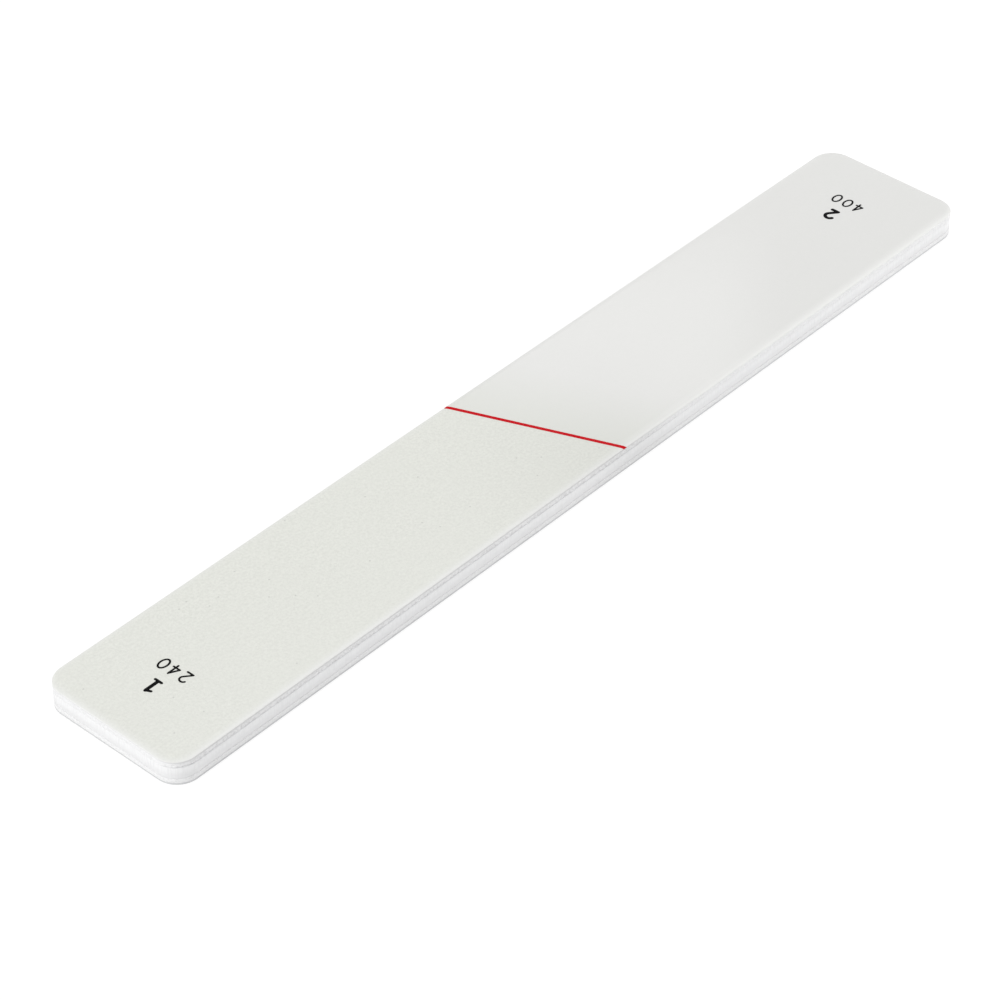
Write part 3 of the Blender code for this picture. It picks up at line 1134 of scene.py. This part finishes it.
def digit_paths(digit, weight):
    """Stroke paths of a digit one unit high, each with its share of the full stroke width."""
    half, middle = weight / 2, (1 - weight) / 4
    if digit == "0":
        paths = [(1, bow((0.33, 0.5), (0.27, 0.5 - half), start, start + 200)) for start in (-10, 170)]
    elif digit == "1":
        thin = 0.72
        serif, flag = [(0.13, half * thin), (0.55, half * thin)], [(0.09, 0.78), (0.34, 0.90)]
        paths = [(1, [(0.34, half), (0.34, 1 - half)]), (thin, serif), (thin, flag)]
    elif digit == "2":
        corner = (half * 1.7, half)
        crook = bow((0.32, 1 - half - 0.235), (0.245, 0.235), 158, -38) + [corner]
        paths = [(1, crook), (1, [corner, (0.65 - half, half)])]
    elif digit == "3":
        upper = bow((0.29, 0.5 + middle), (0.25, middle), 150, -90)
        lower = bow((0.29, 0.5 - middle), (0.25, middle), 90, -150)
        paths = [(1, upper), (1, lower), (1, [(0.17, 0.5), (0.32, 0.5)])]
    else:
        corner, upright = (0.12, 0.28), [(0.46, half), (0.46, 1 - half)]
        paths = [(1, upright), (1, [(0.46, 0.92), corner]), (1, [corner, (0.64, 0.28)])]
    return [(share, [Vector(point) for point in path]) for share, path in paths]


# %% From strokes to a printed patch
INK_STEP = 0.05 * MM
INK_SHAKE = 0.010 * MM
JOIN_WITHIN = 1e-4 * MM


def shaken(outline):
    """The same closed outline in short steps, each moved by a hair."""
    walked = []
    for here, ahead in zip(outline, outline[1:] + outline[:1]):
        steps = max(1, math.ceil((ahead - here).length / INK_STEP))
        walked += [here.lerp(ahead, step / steps) for step in range(steps)]
    for k, point in enumerate(walked):
        place = point.to_3d() / INK_STEP / 2
        shift = Vector((noise.noise(place), noise.noise(place + Vector((9, 0, 0)))))
        walked[k] = point + shift * INK_SHAKE
    return walked


def thicken(piece, side):
    """Turns a flat patch into a closed film that reaches down into the resin."""
    shape = bmesh.new()
    shape.from_mesh(piece.data)
    unused = [vert for vert in shape.verts if not vert.link_faces]
    bmesh.ops.delete(shape, geom=unused, context="VERTS")
    bmesh.ops.recalc_face_normals(shape, faces=shape.faces[:])
    lowered = bmesh.ops.extrude_face_region(shape, geom=shape.faces[:])
    for item in lowered["geom"]:
        if isinstance(item, bmesh.types.BMVert):
            item.co.z -= FLIPS[side] * (FACE - RESIN_TOP + INK_SINK)
    bmesh.ops.recalc_face_normals(shape, faces=shape.faces[:])
    shape.to_mesh(piece.data)
    shape.free()


def print_number(name, side, number, place, finish, height, stroke, advance):
    """Prints digits that read along +Y, with their tops towards -X, centred on place."""
    outlines = []
    for k, digit in enumerate(number):
        for share, path in digit_paths(digit, stroke / height):
            moved = [Vector((point.x + k * advance, point.y)) for point in path]
            outlines.append(widened(moved, share * stroke / height))
    xs = [point.x for outline in outlines for point in outline]
    middle = (min(xs) + max(xs)) / 2
    points, faces = [], []
    for outline in outlines:
        laid = [Vector((0.5 - point.y, point.x - middle)) * height + place for point in outline]
        edge = shaken(laid)
        faces.append(list(range(len(points), len(points) + len(edge))))
        points += edge
    points, _, triangles, _, _, sources = delaunay_2d_cdt(points, [], faces, 0, JOIN_WITHIN)
    triangles = [triangle for triangle, source in zip(triangles, sources) if source]
    flat = np.array([point.to_tuple() for point in points])
    heights = face_height(side, flat[:, 0], flat[:, 1])
    top = np.column_stack((flat, heights + FACE - RESIN_TOP))
    patch = mesh_object(name, turned_over(top, side), triangles, finish)
    thicken(patch, side)
    return patch


# %% Print the step numerals and the grade numbers
BLACK = (0.003, 0.003, 0.0033)
NUMERAL = {"stroke": 0.58 * MM, "advance": 0.9}
GRADE = {"height": 2.35 * MM, "stroke": 0.30 * MM, "advance": 0.92}
GRADE_OFFSET = 4.3 * MM
STEPS = {
    "upper": {"1": "240", "2": "400"},
    "lower": {"3": "1000", "4": "4000"},
}


def black_colour(tree):
    return tones(tree, ramp(tree, lumps(tree, 0.15 * MM, 3), 0.3, 0.75), BLACK, 1, 2.6)


black_finish = new_finish("black_ink_print", black_colour, ink_relief, bump=0.015 * MM, **INK_LOOK)
for side, numbers in STEPS.items():
    for step, grade in numbers.items():
        low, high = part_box(f"numeral_{step}")
        place = Vector(((low.x + high.x) / 2, FLIPS[side] * (low.y + high.y) / 2))
        size = {"height": high.x - low.x, **NUMERAL}
        numeral = print_number(f"step_{step}", side, step, place, black_finish, **size)
        hand_over(numeral, "black_ink", f"numeral_{step}")
        beside = place + Vector((GRADE_OFFSET, 0))
        number = print_number(f"grade_{grade}", side, grade, beside, black_finish, **GRADE)
        hand_over(number, "black_ink")

# %% [markdown]
# ## Floor and light
#
# The photograph is a cut-out on white, so the floor and the sky read as white to the
# camera, by Is Camera Ray, while they light the board at a plain level. Part of the floor's
# look is its real diffuse light, so the board keeps a faint contact shadow. Three soft
# lamps model the board: one over its left end, which is the lightest in the photograph, one
# from the near right, and one behind that gives the buffing sheet its sheen. Only that last
# one shows in glossy surfaces. From other sides the first two would burn the satin sheets
# out to white, so glossy rays pass them by.

# %% Floor
HALF_FLOOR = 1.5
FLOOR_SHADE = (0.88, 0.88, 0.885)
FLOOR_GLOW = 0.80
SHADOW_SHARE = 0.26
FLOOR_GAP = 0.01 * MM


def seen_directly(tree):
    """1 for rays from the camera, and for those that reach it by gloss or through glass."""
    rays = add(tree, "ShaderNodeLightPath").outputs
    direct = maths(tree, "MAXIMUM", rays["Is Camera Ray"], rays["Is Glossy Ray"])
    return maths(tree, "MAXIMUM", direct, rays["Is Transmission Ray"])


def floor_material():
    material = bpy.data.materials.new("pale_floor")
    material.use_nodes = True
    tree = material.node_tree
    tree.nodes.remove(tree.nodes["Principled BSDF"])
    plain = add(tree, "ShaderNodeBsdfDiffuse", {"Color": (*FLOOR_SHADE, 1)}).outputs[0]
    faint = add(tree, "ShaderNodeBsdfDiffuse", {"Color": (SHADOW_SHARE,) * 3 + (1,)}).outputs[0]
    glow = add(tree, "ShaderNodeEmission", {"Strength": FLOOR_GLOW}).outputs[0]
    shown = add(tree, "ShaderNodeAddShader", {0: faint, 1: glow}).outputs[0]
    mixed = add(tree, "ShaderNodeMixShader", {0: seen_directly(tree), 1: plain, 2: shown}).outputs[0]
    tree.links.new(mixed, tree.nodes["Material Output"].inputs["Surface"])
    return material


floor_height = cad_low.z - FLOOR_GAP
corner_signs = ((-1, -1), (1, -1), (1, 1), (-1, 1))
floor_corners = [(x * HALF_FLOOR, y * HALF_FLOOR, floor_height) for x, y in corner_signs]
floor = mesh_object("floor", floor_corners, [(0, 1, 2, 3)], floor_material())
floor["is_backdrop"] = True

# %% Sky
SKY_LEVEL = 0.66

world = bpy.data.worlds.new("white_surround")
bpy.context.scene.world = world
world.use_nodes = True
level = ramp(world.node_tree, seen_directly(world.node_tree), 0, 1, SKY_LEVEL, 1)
sky = world.node_tree.nodes["Background"]
sky.inputs["Color"].default_value = (1, 1, 1, 1)
world.node_tree.links.new(level, sky.inputs["Strength"])

# %% Lamps


def soft_lamp(name, place_mm, width, height, power, mirrored=False):
    """A rectangular area lamp that faces the middle of the board, and may show in its gloss."""
    lamp = new_object(name, bpy.data.lights.new(name, "AREA"))
    lamp.data.shape = "RECTANGLE"
    lamp.data.size = width
    lamp.data.size_y = height
    lamp.data.energy = power
    lamp.visible_glossy = mirrored
    lamp.location = Vector(place_mm) * MM
    lamp.rotation_euler = (-lamp.location).to_track_quat("-Z", "Y").to_euler()


soft_lamp("left_lamp", (-620, 60, 420), width=0.40, height=0.40, power=2.06)
soft_lamp("near_right_lamp", (330, -230, 95), width=0.16, height=0.16, power=0.46)
soft_lamp("sheen_lamp", (200, 161, 183), width=0.08, height=0.05, power=0.096, mirrored=True)

bpy.context.scene.view_settings.view_transform = "Standard"

# %% [markdown]
# ## Measure and finish
#
# It prints the box of the dressed board. The dressed board has to stay the size of the
# imported one.

# %% Sizes, and the last line
low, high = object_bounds()
print("dressed box in mm:", [round(side / MM, 3) for side in high - low])
